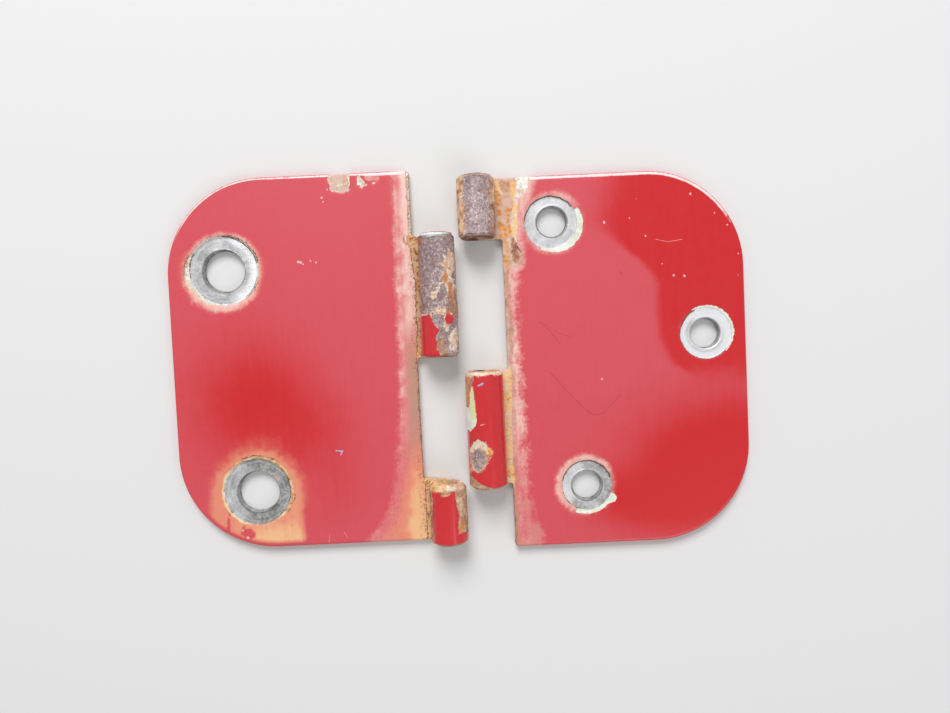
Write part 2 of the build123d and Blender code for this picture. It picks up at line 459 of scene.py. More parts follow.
# a pitted crust of rust and old paint at the root of the knuckles and round the screws' seats
root = along(y, (-30.6, -27.2, -20.2, -17.1, -12, 1.0, 2.6, 5.6, 9, 14.4, 18.9, 21.2, 22, 31),
             (-7.0, -7.0, -7.0, -7.2, -7.4, -7.4, -7.3, -7.1, -7.15, -7.2, -7.5, -8.0, -7.8, -7.7))
root = np.where(on_roll | (s < notch - 0.35), -20, root)
crust = np.maximum(x - root, gaps) + 0.2 * rough + 0.25 * fine
crust = np.maximum(crust, 5.7 + 0.5 * arc(lower_turn, -35, 235, 25) - lower_screw + 0.2 * rough + 0.25 * fine)
lumps = 5.95 + 0.22 * arc(upper_turn, 110, 235, 20) + 0.5 * arc(upper_turn, 165, 200, 20)
lumps = lumps + 0.15 * arc(upper_turn, -60, 60, 20)
crust = np.maximum(crust, lumps - upper_screw + 0.25 * rough + 0.2 * fine)
# the knuckles' end faces become crust, to carry their painted shade
crust = np.where(on_roll, np.where(ends, 1.0, np.where(lower, -second_red, -first_red)), crust)
crust = np.where(under, -1.0, crust)

# how rusty the crust and the steel are, and the painted shade on the knuckles' end faces
rust_and_shade = 0.38 + 0.15 * fine - 0.22 * (y > 21.5) + 0.12 * fade(-s, -4.4, -3.4) * (y > -10)
rust_and_shade = np.where(lower_screw < 8, 0.36 - 0.35 * arc(lower_turn, 150, 260, 30) + 0.35 * fine, rust_and_shade)
gap_rust = 0.3 + 0.5 * fine - 0.45 * (x > -16.6) - 0.7 * fade(0.28 - gaps, 0, 0.2)
rust_and_shade = np.where(gaps > -1, gap_rust, rust_and_shade)
rust_and_shade = np.where(upper_screw < 8, 0.3 * fine * arc(upper_turn, 80, 220, 20), rust_and_shade)
steel_rust = np.maximum(spot(u, v, -0.5, 30.0, 1.4, 2.0), spot(u, v, 2.8, 12.2, 0.8, 1.3))
steel_rust = 0.1 + 0.2 * fade(np.abs(u), 2.2, 3.2) + 0.5 * fade(steel_rust + 0.4 * rough, -0.2, 0.4)
tan_flake = fade(spot(u, v, -2.6, 23.3, 1.3, 2.4) + 0.4 * rough, -0.3, 0.3)
knuckle_rust = np.where(flakes > -0.3, 0.12 + 0.55 * tan_flake + 0.3 * fine, steel_rust + 0.5 * tan_flake)
rust_and_shade = np.where(on_roll, knuckle_rust, rust_and_shade)
orange = fade(spot(u, v, -1.35, 19.2, 0.9, 1.2) + 2.2 * fine, 0.0, 0.7) * on_roll * (v < 40)
rust_and_shade = rust_and_shade + 0.5 * orange
lower_top = fade(-v, -54.6, -53.8)
rust_and_shade = np.where(on_roll & lower, 0.5 - 0.25 * lower_top + 0.45 * fine + 0.3 * rough, rust_and_shade)
rust_and_shade = np.where(on_roll & lower & (chips > -0.2), 0.5 + 0.4 * fine, rust_and_shade)
rust_and_shade = np.where(on_roll & ~outside, np.where(v < 52, 0.8, 0.8 - 0.5 * fade(-v, -55.5, -54)), rust_and_shade)
# the knuckles' end faces in dark brown: painted shade
rust_and_shade = np.where(ends, 0.7 + 0.2 * rough, rust_and_shade)
rust_and_shade = np.where(under, 0.3 + 0.3 * ragged(place, 9, 31), rust_and_shade)

# enamel worn to a pale pink along the root and round the upper seat; on the rounded top edge a near-white
# line is a painted highlight, partly enamel worn pale
pale_edge = along(y, (-30.2, -28.6, -25.2, -20.0, -13.1, -6.3, 5.7, 31),
                  (-17.7, -16.0, -13.6, -12.5, -11.4, -10.8, -10.5, -10.2))
inside = x - pale_edge + 0.5 * rough
worn = fade(inside, -0.9, 1.2) * (1 - 0.25 * fade(-y, 10, 16))
pale = 0.2 - 0.3 * fade(-y, 10, 18) + (0.12 + 0.4 * rough) * np.exp(-((inside - 0.8) / 0.7) ** 2)
pale = np.maximum(pale, fade(y, -2, 12) * (0.92 + 0.3 * rough) * fade(inside, 0.2, 2.4))
low_left = arc(upper_turn, 215, 275, 70)
upper_ring = (0.62 + 0.45 * low_left) * ring(upper_screw, 6.0, 0.75 + 0.4 * low_left)
worn = np.maximum(worn, upper_ring * (1 + 0.7 * spokes(upper_turn, upper_screw, 71)))
# the painted highlight on the rounded top edge joins the worn enamel
worn = np.maximum(worn, lip_wear_and_highlight * (1.1 + 0.5 * rough))
worn = np.maximum(worn, 0.9 * fade(stroke(x, y, 0.35, (-14.4, 31.7), (-12.6, 31.5)) + 0.2 * fine, -0.2, 0.1))
worn = np.where(on_roll | under, 0, worn)
# near-white pink on the rounded top edge: the painted highlight
pale = np.where(lower_screw < 12, 0.25, np.where(lip_wear_and_highlight > 0.05, 1.6, pale))
pale = np.where(upper_screw < 9, 0.8 - 0.3 * fade(upper_screw, 6, 7.5), pale)

# rust that has crept under the enamel: round the lower screw, down to the bottom edge, and at the root
halo = along(lower_turn, (-180, -150, -125, -60, -35, 0, 45, 90, 135, 180),
             (8.2, 9.5, 14, 14, 9.0, 7.6, 7.4, 7.3, 7.5, 8.2))
halo = np.minimum(halo - lower_screw, -19.2 - 0.7 * x)
halo = halo + 0.7 * spokes(lower_turn, lower_screw, 73) + 0.2 * rough
stain = 0.78 + 0.22 * fade(-y, 25, 29.5) * fade(x, -39, -35) - 0.1 * arc(lower_turn, 120, 210, 40)
stain = fade(halo, -1.1, 1.2) * stain
streaks = spokes(lower_turn, lower_screw, 75)
stain = np.maximum(stain, 0.36 * ring(lower_screw, 7.3, 1.6) * (1 + 0.6 * streaks))
stain = np.maximum(stain, 0.34 * bloom(x, y, -35.2, -13.8, 7, 4) * (1 + 0.5 * streaks))
stain = stain * fade(edge, 0.3, 1.3)
low = fade(inside, 0.2, 3.5) * fade(-y, 8, 24)
low = (0.35 + 0.25 * fade(x, -14.5, -11) + 0.42 * fade(x, -11.5, -8.4) + 0.15 * rough) * low
stain = np.maximum(stain, low)
stain = np.maximum(stain, 0.36 * fade(crust, -1.7, -0.2) * (np.abs(y - 11) < 10) * (s > notch) * (gaps < -1))
remnant = np.maximum(spot(x, y, -41.1, -26.1, 0.3, 1.2, -15), spot(x, y, -38.1, -28.1, 1.3, 0.9, -40))
stain = stain * (1 - 0.85 * fade(remnant + 0.8 * fine, -0.15, 0.15))
lower_stain = 0.6 * fade(spot(u, v, -2.2, 60.2, 0.9, 1.2) + fine, 0, 0.4)
lower_stain = 0.55 * fade(-v, -54.6, -54.0) * fade(u, -1, 1) + lower_stain
stain = np.where(on_roll, np.where(lower, lower_stain, 0.55 * orange + 0.3 * tan_flake), stain)
root_stain = (0.1 + 0.38 * (np.abs(y - 11) < 11)) * (screw > 9) * (gaps < -1) + 0.1 * rough
on_crust = ~on_roll & (crust > 0)
stain = np.where(on_crust & (y > -14), root_stain, stain)
stain = np.where(on_crust & (y < -14), 0.7 + 0.2 * rough, stain)
stain = np.where((lower_screw < 8) & (crust > 0.25), 0.15 + 0.4 * fade(fine, 0.1, 0.5), stain)
seat_stain = 0.1 + 0.7 * arc(upper_turn, 90, 200, 20) * fade(fine, 0.1, 0.5)
stain = np.where((upper_screw < 8) & (crust > -0.1), seat_stain, stain)
tan = along(y, (-28, -20, -8, 1, 7, 16, 31), (0.05, 0.12, 0.46, 0.42, 0.06, 0.0, 0.08))
tan = fade(inside, 0.2, 2.8) * tan + 0.12 * fade(x, -11, -8.5)
rust_and_shade = np.where(on_roll | under | (crust > 0), rust_and_shade, tan * (worn > 0.3))

# a paler, chalky red: a painted reflection of bright surroundings in the gloss, partly chalking of the
# enamel; it clears above the lower screw
chalk_and_reflection = 0.95 - 1.0 * bloom(x, y, -35.5, -6.0, 16, 17, 20) - 0.35 * bloom(x, y, -25, -12, 10, 10)
chalk_and_reflection = chalk_and_reflection - 0.25 * bloom(x, y, -22, -22, 8, 8)
# the outer rounding of each edge is left deep red: painted shade where the edge turns away
chalk_and_reflection = chalk_and_reflection + 0.1 * bloom(x, y, -26, 26, 16, 9) - 0.9 * fade(0.28 - edge, 0, 0.12)
chalk_and_reflection = np.where(on_roll, 0.14, chalk_and_reflection)

# how bright the steel is, how pale each coat is, and where dirt and painted shadow lie
wall = (screw < 3.3) | ((w < 1.3) & (screw < 3.5))
seat = np.where(lower_screw < 7, 0.3 + 0.3 * arc(lower_turn, 130, 225, 40), 0.0)
upper_seat = 0.58 + 0.8 * fade(upper_screw, 4.0, 5.4) * arc(upper_turn, -45, 55, 40)
seat = np.where(upper_screw < 7, upper_seat, seat)
seat = np.where(wall, 0.36, seat * ~under * (1 - 0.35 * (screw < 3.62)))
# the upper knuckle's top chamfer is bright silver: bared, polished steel and a painted highlight
polish_and_highlight = fade(0.7 * fine + 0.5 * rough - v, -12.2, -11.3) * fade(u, -2.8, -2.0)
seat = seat + 1.1 * polish_and_highlight * (on_roll & outside)
frost = 0.4 * bloom(u, v, 1.9, 22.3, 2.0, 3.0) + 0.4 * ragged(place, 3, 35)
frost = frost + 0.5 * fade(flakes, -1.4, 0)
pale = np.where(on_roll, 0.45 + frost, pale)
pale = np.where(crust > 0, np.where(on_roll, 0.3, 0.25 + 0.45 * (gaps > -0.3)), pale)
pale = np.where(under, 0.4 + 0.4 * ragged(place, 6, 43), pale)
# dark lines at the top of the upper seat: painted shadow of the enamel's edge; the other arcs are dirt
dirt_and_shadow = arc(upper_turn, 15, 85) + 0.6 * arc(upper_turn, 150, 190) + 0.6 * arc(upper_turn, -50, -15)
dirt_and_shadow = np.where(upper_screw < 8, dirt_and_shadow, 0.2)
# the dark line at the top of the lower crust ring: painted shadow of the enamel's edge
lower_dirt_and_shadow = 0.75 * arc(lower_turn, 62, 112) * (lower_screw > 6) + 0.2 * arc(lower_turn, -45, 20)
dirt_and_shadow = np.where(lower_screw < 8, 0.25 + lower_dirt_and_shadow, dirt_and_shadow)
dirt_and_shadow = np.where(gaps > -1, 0.3, dirt_and_shadow) + 0.5 * fine
root_dirt = 0.2 + 0.6 * fade(-s, -5.0, -4.1) + 0.4 * fine
dirt_and_shadow = np.where(~on_roll & (crust > -0.3) & (screw > 8) & (gaps < 0), root_dirt, dirt_and_shadow)
beside_root = (s > notch) & (screw > 8) & (crust < -0.3) & (gaps < -1)
dots = fade(crust, -1.9, -0.2) * np.where(y < -15, 0.8, np.where(np.abs(y - 11) < 12, 0.85, 0.3))
dirt_and_shadow = np.where(beside_root, 0.1 + dots + 0.2 * fine, dirt_and_shadow)
dirt_and_shadow = np.where(under, 0, dirt_and_shadow)
primer = bare + np.where(screw < 7.5, -0.1, 0.05 + 0.3 * ragged(place, 1.1, 37) - 0.4 * (on_roll & lower))

deepest = 0.3  # mm
depth = let_in(on_roll, bare, crust, worn, seat, fine, ragged(place, 0.8, 41))
depth = np.minimum(depth, deepest)
left_leaf = leaf_mesh("left_leaf_worn", place, quads, {
    "bare": bare, "primer": primer, "crust": crust, "worn": worn, "stain": stain, "chalk_and_reflection": chalk_and_reflection, "rust_and_shade": rust_and_shade,
    "seat": seat, "pale": pale, "dirt_and_shadow": dirt_and_shadow, "screw": np.minimum(screw, 12)}, np.maximum(depth, 0))


# Red gloss enamel, sprayed over pale yellow-green primer on plated steel. It is paler and chalky where a
# painted reflection of bright surroundings lies on it, partly chalking of the enamel, pale where it is worn
# thin, and stained by rust round the lower screw. The steel is bright where the screws' heads sat on it,
# and dull, brown and speckled with white on the knuckles. Painted highlights lie on the rounded top edges
# and the knuckles' top chamfers, and painted shadows along the enamel's edge over the seats and on the
# knuckles' end faces.
def srgb(red, green, blue):
    """A colour as a screen shows it, 0 to 255, in the linear values that a shader wants."""
    c = np.array([red, green, blue]) / 255
    return (*np.where(c <= 0.04045, c / 12.92, ((c + 0.055) / 1.055) ** 2.4).tolist(), 1)


class Coat:
    """A value in a material's nodes: arithmetic on it adds Math nodes, and node() adds any other one."""

    def __init__(self, tree, socket=None):
        self.tree, self.socket = tree, socket

    def node(self, kind, settings=None, sockets=None, out=0):
        """Any node, its settings first, then the values or links of its sockets."""
        node = self.tree.nodes.new("ShaderNode" + kind)
        for key, value in (settings or {}).items():
            setattr(node, key, value)
        for key, value in (sockets or {}).items():
            if isinstance(value, Coat):
                self.tree.links.new(value.socket, node.inputs[key])
            else:
                node.inputs[key].default_value = value
        return Coat(self.tree, node.outputs[out])

    def math(self, operation, a, b, clamp=False):
        return self.node("Math", {"operation": operation, "use_clamp": clamp}, {0: a, 1: b})

    def __add__(self, other):
        return self.math("ADD", self, other)

    def __sub__(self, other):
        return self.math("SUBTRACT", self, other)

    def __rsub__(self, other):
        return self.math("SUBTRACT", other, self)

    def __mul__(self, other):
        return self.math("MULTIPLY", self, other)

    __radd__, __rmul__ = __add__, __mul__

    def upto(self, other):
        """The larger of the two: where either mask lies."""
        return self.math("MAXIMUM", self, other)

    def within(self, other):
        """The smaller of the two: where both masks lie."""
        return self.math("MINIMUM", self, other)

    def step(self, low, high):
        """0 below low, 1 above high, smooth between."""
        return self.node("MapRange", {"interpolation_type": "SMOOTHSTEP"}, {
            "Value": self, "From Min": low, "From Max": high})

    def mix(self, under, over):
        """The colour under this mask where it is 0, and the one over it where it is 1."""
        return self.node("Mix", {"data_type": "RGBA"}, {0: self, 6: under, 7: over}, out=2)

    def value(self, low, high):
        """This mask stretched from 0 and 1 to low and high."""
        return self * (high - low) + low


def worn_red_paint():
    """The finish of both leaves: each coat's colour over the last one's, by the masks on the mesh."""
    material = bpy.data.materials.new("worn_red_paint")
    material.use_nodes = True
    tree = material.node_tree
    start = Coat(tree)
    at = start.node("TexCoord", out="Object")

    def coat(name):
        """A value that the mesh holds for every corner."""
        return start.node("Attribute", {"attribute_name": name}, out="Fac")

    def vector(operation, a, b, out=0):
        """Vector Math on two vectors."""
        return start.node("VectorMath", {"operation": operation}, {0: a, 1: b}, out)

    def grain(size, seed, detail=3.0, roughness=0.6, long=1.0):
        """Noise of that size in mm, about -0.5 to 0.5, drawn out that many times along Y."""
        where = vector("MULTIPLY", at, (1, 1 / long, 1)) if long > 1 else at
        return start.node("TexNoise", {"noise_dimensions": "4D"}, {
            "Vector": where, "W": seed, "Scale": 1000 / size, "Detail": detail, "Roughness": roughness}) - 0.5

    def streak(points, width):
        """How far inside a scratch a point is, in mm: its half width less its distance from the line.
        The line's points are (x, y) on the painted front, or (x, y, z)."""
        front = 1.6
        inside = None
        points = np.array([(*p, front)[:3] for p in points]) / 1000
        for a, b in zip(points, points[1:]):
            side = b - a
            away = vector("SUBTRACT", at, a)
            share = vector("DOT_PRODUCT", away, side / (1e-12 + side @ side), out=1)
            share = share.math("ADD", share, 0.0, clamp=True)
            foot = start.node("VectorMath", {"operation": "SCALE"}, {0: side, "Scale": share})
            away = vector("SUBTRACT", away, foot)
            here = width - start.node("VectorMath", {"operation": "LENGTH"}, {0: away}, out=1) * 1000
            inside = inside.upto(here) if inside else here
        return inside

    def any_of(*strokes):
        """How far a point is inside the nearest of several strokes (half width, points)."""
        inside = None
        for width, *points in strokes:
            here = streak(points if len(points) > 1 else points * 2, width)
            inside = inside.upto(here) if inside else here
        return inside

    # the grains that fray and cloud the coats, by their size in mm
    nibble = grain(0.55, 1.0)
    fleck = grain(0.26, 2.0, 2.0)
    patch = grain(2.2, 3.0, 4.0)
    wide = grain(9.0, 4.0, 3.0)
    brushed = grain(0.6, 5.0, 3.0, 0.6, 9.0)

    # the coats' outlines, frayed by the fine grain: each is 1 where the coat lies
    stain, chalk_and_reflection, rust_and_shade, seat, pale, dirt_and_shadow = map(coat, ("stain", "chalk_and_reflection", "rust_and_shade", "seat", "pale", "dirt_and_shadow"))
    bare_in = coat("bare") + nibble * 0.4 + (nibble + fleck) * 1.0 * (1 - seat.step(0.0, 0.3))
    crust_in = coat("crust") + nibble * 0.9 + fleck * 0.5
    bare, crust = bare_in.step(-0.03, 0.03), crust_in.step(-0.08, 0.08)
    primer = (coat("primer") + nibble * 0.6).step(-0.04, 0.04)
    wear = coat("worn")
    clear = coat("screw").step(6.5, 8.5)
    thin = (nibble * 0.9 + fleck * 0.7 + patch * 0.5 + brushed * 0.45) * clear.value(0.4, 1.0)
    worn = (wear + thin * wear.step(0.0, 0.2)).step(0.08, 0.95)

    # the enamel: deep red where it is sound, paler and chalky under the painted reflection, pale pink where
    # it is worn thin, and near white on the painted highlight along the rounded top edges
    chalky_reflection = (chalk_and_reflection + wide * 0.3 + patch * 0.24 + brushed * 0.3 + nibble * 0.14).step(-0.2, 1.15)
    red = chalky_reflection.mix(srgb(206, 6, 16), srgb(215, 76, 87))
    pink = (pale + patch * 0.6 + nibble * 0.4 + brushed * 0.6).step(0.0, 1.0)
    pink = pink.mix(srgb(222, 124, 124), srgb(250, 216, 204))
    pink = (rust_and_shade * 1.3 + patch * 0.6 + brushed * 0.4).step(0.15, 0.75).mix(pink, srgb(188, 144, 120))
    # near-white pink where pale runs highest: the painted highlight on the rounded top edges
    pink = pale.step(1.0, 1.4).mix(pink, srgb(253, 230, 232))
    red = (worn * 0.94).mix(red, pink)
    orange = (stain + patch * 0.3 + nibble * 0.15 + brushed * 0.2).step(0.72, 1.05)
    orange = orange.mix(srgb(232, 142, 112), srgb(242, 188, 138))
    stained = stain + fleck * 0.1 + nibble * 0.15 + patch * 0.15 + brushed * 0.12
    red = stained.step(0.08, 0.78).mix(red, orange)

    # specks, fine scratches, smears of blue and dull scratches, each a half width and its points in mm
    specks = any_of(
        (0.12, (32.5, 19.8)), (0.15, (37.1, 12.9)), (0.17, (38.9, 12.7)), (0.2, (25.6, 22.4)),
        (0.1, (35.2, 14.9)), (0.14, (24.2, -4.3)), (0.16, (40.4, 26.5)), (0.12, (44.4, 23.1)),
        (0.14, (46.5, 21.0)), (0.12, (48.2, 16.1)), (0.11, (48.1, 12.4)), (0.12, (29.9, 22.9)),
        (0.1, (31.2, 26.1)), (0.2, (-26.7, 18.1), (-26.2, 18.0)), (0.14, (-25.9, 17.7)),
        (0.15, (-24.6, 18.2)), (0.16, (-23.7, 17.9)), (0.14, (-21.1, 30.1)), (0.16, (-22.1, 28.7)),
        (0.14, (-21.9, 28.0)), (0.24, (-38.0, -28.9)), (0.15, (-38.8, -27.6)))
    fine_scratches = any_of(
        (0.05, (34.3, 19.1), (36.3, 18.6), (38.7, 18.9)), (0.04, (-29.3, -28.9), (-28.7, -30.0)),
        (0.04, (-23.9, -29.0), (-24.1, -30.3)), (0.04, (-21.4, -28.6), (-20.9, -29.6)),
        (0.09, (3.0, -10.6, 6.4), (3.9, -10.4, 6.4)), (0.05, (2.0, -12.1, 6.0), (2.5, -12.0, 6.2)))
    blue = any_of(
        (0.13, (2.9, -4.05, 6.4), (3.7, -3.7, 6.4)), (0.08, (3.75, -13.4, 6.5), (3.8, -13.3, 6.5)),
        (0.1, (-22.0, -14.5), (-20.9, -14.6), (-21.2, -15.2)), (0.18, (-19.2, 29.7, 1.5)))
    dull_scratches = any_of(
        (0.1, (14.0, 6.0), (15.6, 4.4), (17.2, 2.1)), (0.07, (14.4, 5.8), (17.0, 4.0), (19.5, 3.0)),
        (0.11, (15.3, -2.6), (18.2, -6.2), (20.7, -8.9), (22.4, -10.4), (24.1, -10.2), (27.3, -7.2)),
        (0.04, (-42.2, -3.2), (-39.5, -5.3)), (0.3, (28.1, 13.7)))
    red = ((dull_scratches + nibble * 0.25).step(-0.12, 0.12) * 0.32).mix(red, srgb(150, 36, 50))
    fine_scratches = (fine_scratches + nibble * 0.1).step(-0.04, 0.03)
    scuffs = (specks + fleck * 0.5).step(-0.05, 0.06).upto(fine_scratches * 0.6)
    red = (scuffs * 0.8).mix(red, srgb(240, 205, 208))
    red = ((blue + nibble * 0.3 + fleck * 0.2).step(-0.06, 0.06) * 0.8).mix(red, srgb(150, 198, 234))

    # the crust: cream flakes, tan, brown or nearly black, yellow where the rust has run, with dark pits
    pits = (grain(0.36, 6.0, 3.0) + fleck * 0.4 + dirt_and_shadow * 0.1 - 0.06).step(0.05, 0.16)
    pits = pits * (dirt_and_shadow + patch * 0.5).step(0.3, 0.75)
    red = (pits * clear * wear.step(0.2, 0.6) * 0.8).mix(red, srgb(146, 100, 72))
    flaky = srgb(253, 251, 240)
    browned = rust_and_shade + patch * 0.8 + nibble * 1.2 + fleck * 1.1
    # the darkest of these, on the knuckles' end faces, is painted shade
    for low, high, shade in ((-0.4, 0.0, srgb(228, 212, 192)), (0.0, 0.34, srgb(210, 164, 130)),
                             (0.38, 0.68, srgb(170, 118, 98)), (0.7, 1.0, srgb(112, 80, 70))):
        flaky = browned.step(low, high).mix(flaky, shade)
    chalk = grain(1.3, 7.0, 3.0) * 2 + nibble + fleck * 1.2 + pale - 0.35
    flaky = chalk.step(0.1, 0.6).mix(flaky, srgb(218, 184, 174))
    run = (stain + patch * 1.0 + nibble * 1.6 + fleck * 1.2).step(0.2, 0.85)
    ochre = (rust_and_shade + nibble * 1.5 + patch).step(0.3, 0.7).mix(srgb(246, 200, 134), srgb(214, 136, 70))
    flaky = run.mix(flaky, ochre)
    flaky = (pits * 0.7).mix(flaky, srgb(88, 60, 44))

    # the steel: bright under the screws' heads, where they have turned rings into it, and dull, mauve
    # and speckled with white elsewhere; on the knuckles' top chamfers its bright silver and white speckle are
    # partly painted highlights
    swirl = start.node("TexNoise", {"noise_dimensions": "1D"}, {
        "W": coat("screw") * 2.6, "Scale": 1.0, "Detail": 3.0}) - 0.5
    shiny = seat + (patch * 1.6 + nibble * 0.8 + fleck * 0.6) * (1.25 - seat) + swirl * 0.35
    silver = shiny.step(-0.35, 1.4).mix(srgb(80, 82, 74), srgb(252, 252, 255))
    frost = grain(0.4, 9.0, 5.0, 0.8)
    dull = (pale + patch * 1.2 + nibble * 1.2 + frost * 0.6).step(0.0, 1.1)
    dull = dull.mix(srgb(134, 106, 106), srgb(212, 194, 192))
    dull = ((frost + fleck * 0.5 + pale * 0.12).step(0.04, 0.26) * 0.85).mix(dull, srgb(240, 232, 230))
    dull = ((frost + nibble * 0.5).step(-0.08, -0.26) * 0.7).mix(dull, srgb(102, 72, 68))
    steel = seat.step(0.05, 0.3).mix(dull, silver)
    brown = (nibble + patch + fleck * 0.5).step(-0.15, 0.25).mix(srgb(146, 98, 78), srgb(206, 148, 110))
    rusty = (rust_and_shade + patch * 1.0 + nibble * 0.9 - 0.45).step(0.0, 0.3)
    steel = rusty.mix(steel, brown)

    # the coats on top of each other: enamel, crust, primer and steel
    green = (nibble + patch + fleck * 0.6).step(-0.2, 0.2).mix(srgb(216, 222, 198), srgb(240, 244, 234))
    green = (stain + nibble * 0.6 + fleck * 0.4).step(0.5, 0.9).mix(green, srgb(225, 229, 166))
    colour = crust.mix(red, flaky)
    colour = (primer * (1 - crust)).upto(primer * bare).mix(colour, green)
    colour = bare.mix(colour, steel)

    # a dark line where a coat ends: painted shadow of the enamel's edge over the tops of the seats, and
    # dirt elsewhere
    coat_end = start.math("ABSOLUTE", crust_in - 0.05, 0.0) + 0.04
    coat_end = start.math("ABSOLUTE", bare_in - 0.06, 0.0).within(coat_end)
    grime_and_shadow = 1 - (coat_end - dirt_and_shadow * 0.07).step(0.0, 0.08)
    grime_and_shadow = grime_and_shadow * (dirt_and_shadow + fleck * 0.8 + nibble * 0.8).step(0.3, 0.55)
    colour = (grime_and_shadow * 0.85).mix(colour, srgb(66, 46, 44))

    # a thin dark curl of crust below the right leaf's upper knuckle
    curl = any_of((0.08, (10.4, 19.75), (10.7, 18.9), (11.25, 18.0)))
    colour = ((curl + fleck * 0.2).step(-0.05, 0.04) * 0.8).mix(colour, srgb(84, 50, 46))

    # how each coat shines, and its relief in mm
    metal = bare * (1 - rusty) * (1 - grime_and_shadow) * seat.step(0.05, 0.4).value(0.1, 0.45)
    paint_rough = chalky_reflection.value(0.29, 0.38) + worn * 0.2 + stain * 0.2
    rough = start.node("Mix", None, {0: crust, 2: paint_rough, 3: 0.85})
    rough = start.node("Mix", None, {0: bare, 2: rough, 3: 0.5 + rusty * 0.3 + nibble * 0.15})
    relief = (1 - bare) * 0.08 + (1 - crust) * 0.03 - scuffs * 0.02 + brushed * 0.004
    relief = relief + fleck * 0.08 * crust.upto(bare * (1 - seat.step(0.05, 0.3))) - pits * crust * 0.08
    relief = relief + nibble * 0.01 + grain(0.9, 8.0, 2.0) * 0.008
    shine = (1 - bare.upto(crust)) * (1 - worn * 0.6) * 0.7

    shader = tree.nodes["Principled BSDF"]
    bump = start.node("Bump", None, {"Strength": 1.0, "Distance": 0.001, "Height": relief}, out="Normal")
    looks = {"Base Color": colour, "Metallic": metal, "Roughness": rough, "Coat Weight": shine,
             "Normal": bump}
    for key, value in looks.items():
        tree.links.new(value.socket, shader.inputs[key])
    shader.inputs["Specular IOR Level"].default_value = 0.5
    shader.inputs["Coat Roughness"].default_value = 0.12
    return material


paint = worn_red_paint()
left_leaf.data.materials.append(paint)
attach(left_leaf, "root")
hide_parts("left_leaf")


# Right leaf: its mate, of the same sheet and enamel, with three smaller screw holes. Its knuckles
# fall into the left one's gaps, and its roll turns the other way.
right_pin, right_top, right_reach = 3.95, 30.8, 45.25
right_joints = (10.5, 32.5, 52.4)
small_hole = 2.38  # radius
right_screws = [(notch + 8.6, 7.85, small_hole, 4.6, 5.9), (right_reach - 7.0, 28.0, small_hole, 4.6, 5.6),
                (notch + 12.8, height - 10.2, small_hole, 4.4, 6.2)]
corners, quads = blank(right_reach, right_joints, True, right_screws)
s, v, w = corners.T
u, z = rolled(s, w)
x, y = right_pin + u, right_top - v
place = np.column_stack((x, y, z))
turn, on_roll, outside, under, edge, facing_up = sides(s, v, w, right_reach)
lower = v > 21
ends = knuckle_ends(on_roll, v, w, (0, *right_joints))

rough = ragged(place, 1.6, 11)
fine = ragged(place, 0.7, 15)
(upper_screw, upper_turn), (outer_screw, outer_turn), (lower_screw, lower_turn) = [
    seen_from(x, y, right_pin + hole_s, right_top - hole_v) for hole_s, hole_v, *_ in right_screws]
screw = np.minimum.reduce([upper_screw, outer_screw, lower_screw])
# a painted highlight along the rounded edges that face the leaf's top, partly enamel worn pale there
lip_wear_and_highlight = fade(edge, 0.14, 0.26) * fade(0.72 - edge, 0, 0.2) * fade(w, 1.0, 1.3) * fade(facing_up, 0.3, 0.75)

# the red and the chips on the lower knuckle
red_edge = along(v, (33.2, 34.6, 35.2, 38.5, 42.1, 49.5, 50.7, 51.4, 52.0),
                 (-1.7, -2, -2.5, -2.7, -3.4, -3.3, -2.1, -0.9, 0.9))
chip = cut(u, -v, (-2.5, -44.5), (-1.4, -43.8), (-0.1, -44.5), (0.9, -45.9), (0.6, -46.6), (-0.4, -48.4),
           (-1.7, -49.4), (-2.7, -48.8), (-3.1, -46.2)) + 0.2 * fine
light_chip = np.maximum(
    cut(u, -v, (-2.2, -34.9), (-2.0, -34.9), (-1.6, -40.4), (-2.7, -40.4), (-2.6, -36.6)),
    cut(u, -v, (-3.5, -38.5), (-1.7, -38.5), (-1.6, -40.2), (-1.2, -40.8), (-2.6, -42.5), (-3.5, -42.2)))
light_chip = light_chip + 0.08 * fine
second_red = np.minimum.reduce([u - red_edge, v - 33.3, 52.0 - v]) + 0.15 * rough + 0.12 * fine
second_red = np.where((turn > 75) & ~ends, np.minimum(second_red, -chip), -1)

# bare metal: the screws' heads sat a little beside the middles of their holes
seats = np.maximum.reduce([
    4.5 - np.hypot(x - 16.5, y - 22.75), 4.42 - np.hypot(x - 42.3, y - 2.75), 4.3 - lower_screw])
seats = seats + 0.09 * fine
bare = np.where(under, edge - 1.2 + 0.5 * rough, seats)
side_flakes = np.maximum(-2.1 - u, spot(u, v, 2.9, 3, 0.5, 5)) + 0.5 * rough + 0.3 * fine
grey = np.minimum(spot(u, v, -1.4, 47.3, 1.5, 1.8), chip - 0.25) + 0.15 * fine
bare = np.where(on_roll, np.where(lower, np.where(turn > 75, grey, -1.0), -side_flakes), bare)
bare = np.where(on_roll & (~outside | (turn > 292) | (turn < 35)), 1.0, bare)
bare = np.where(ends, -1, bare)

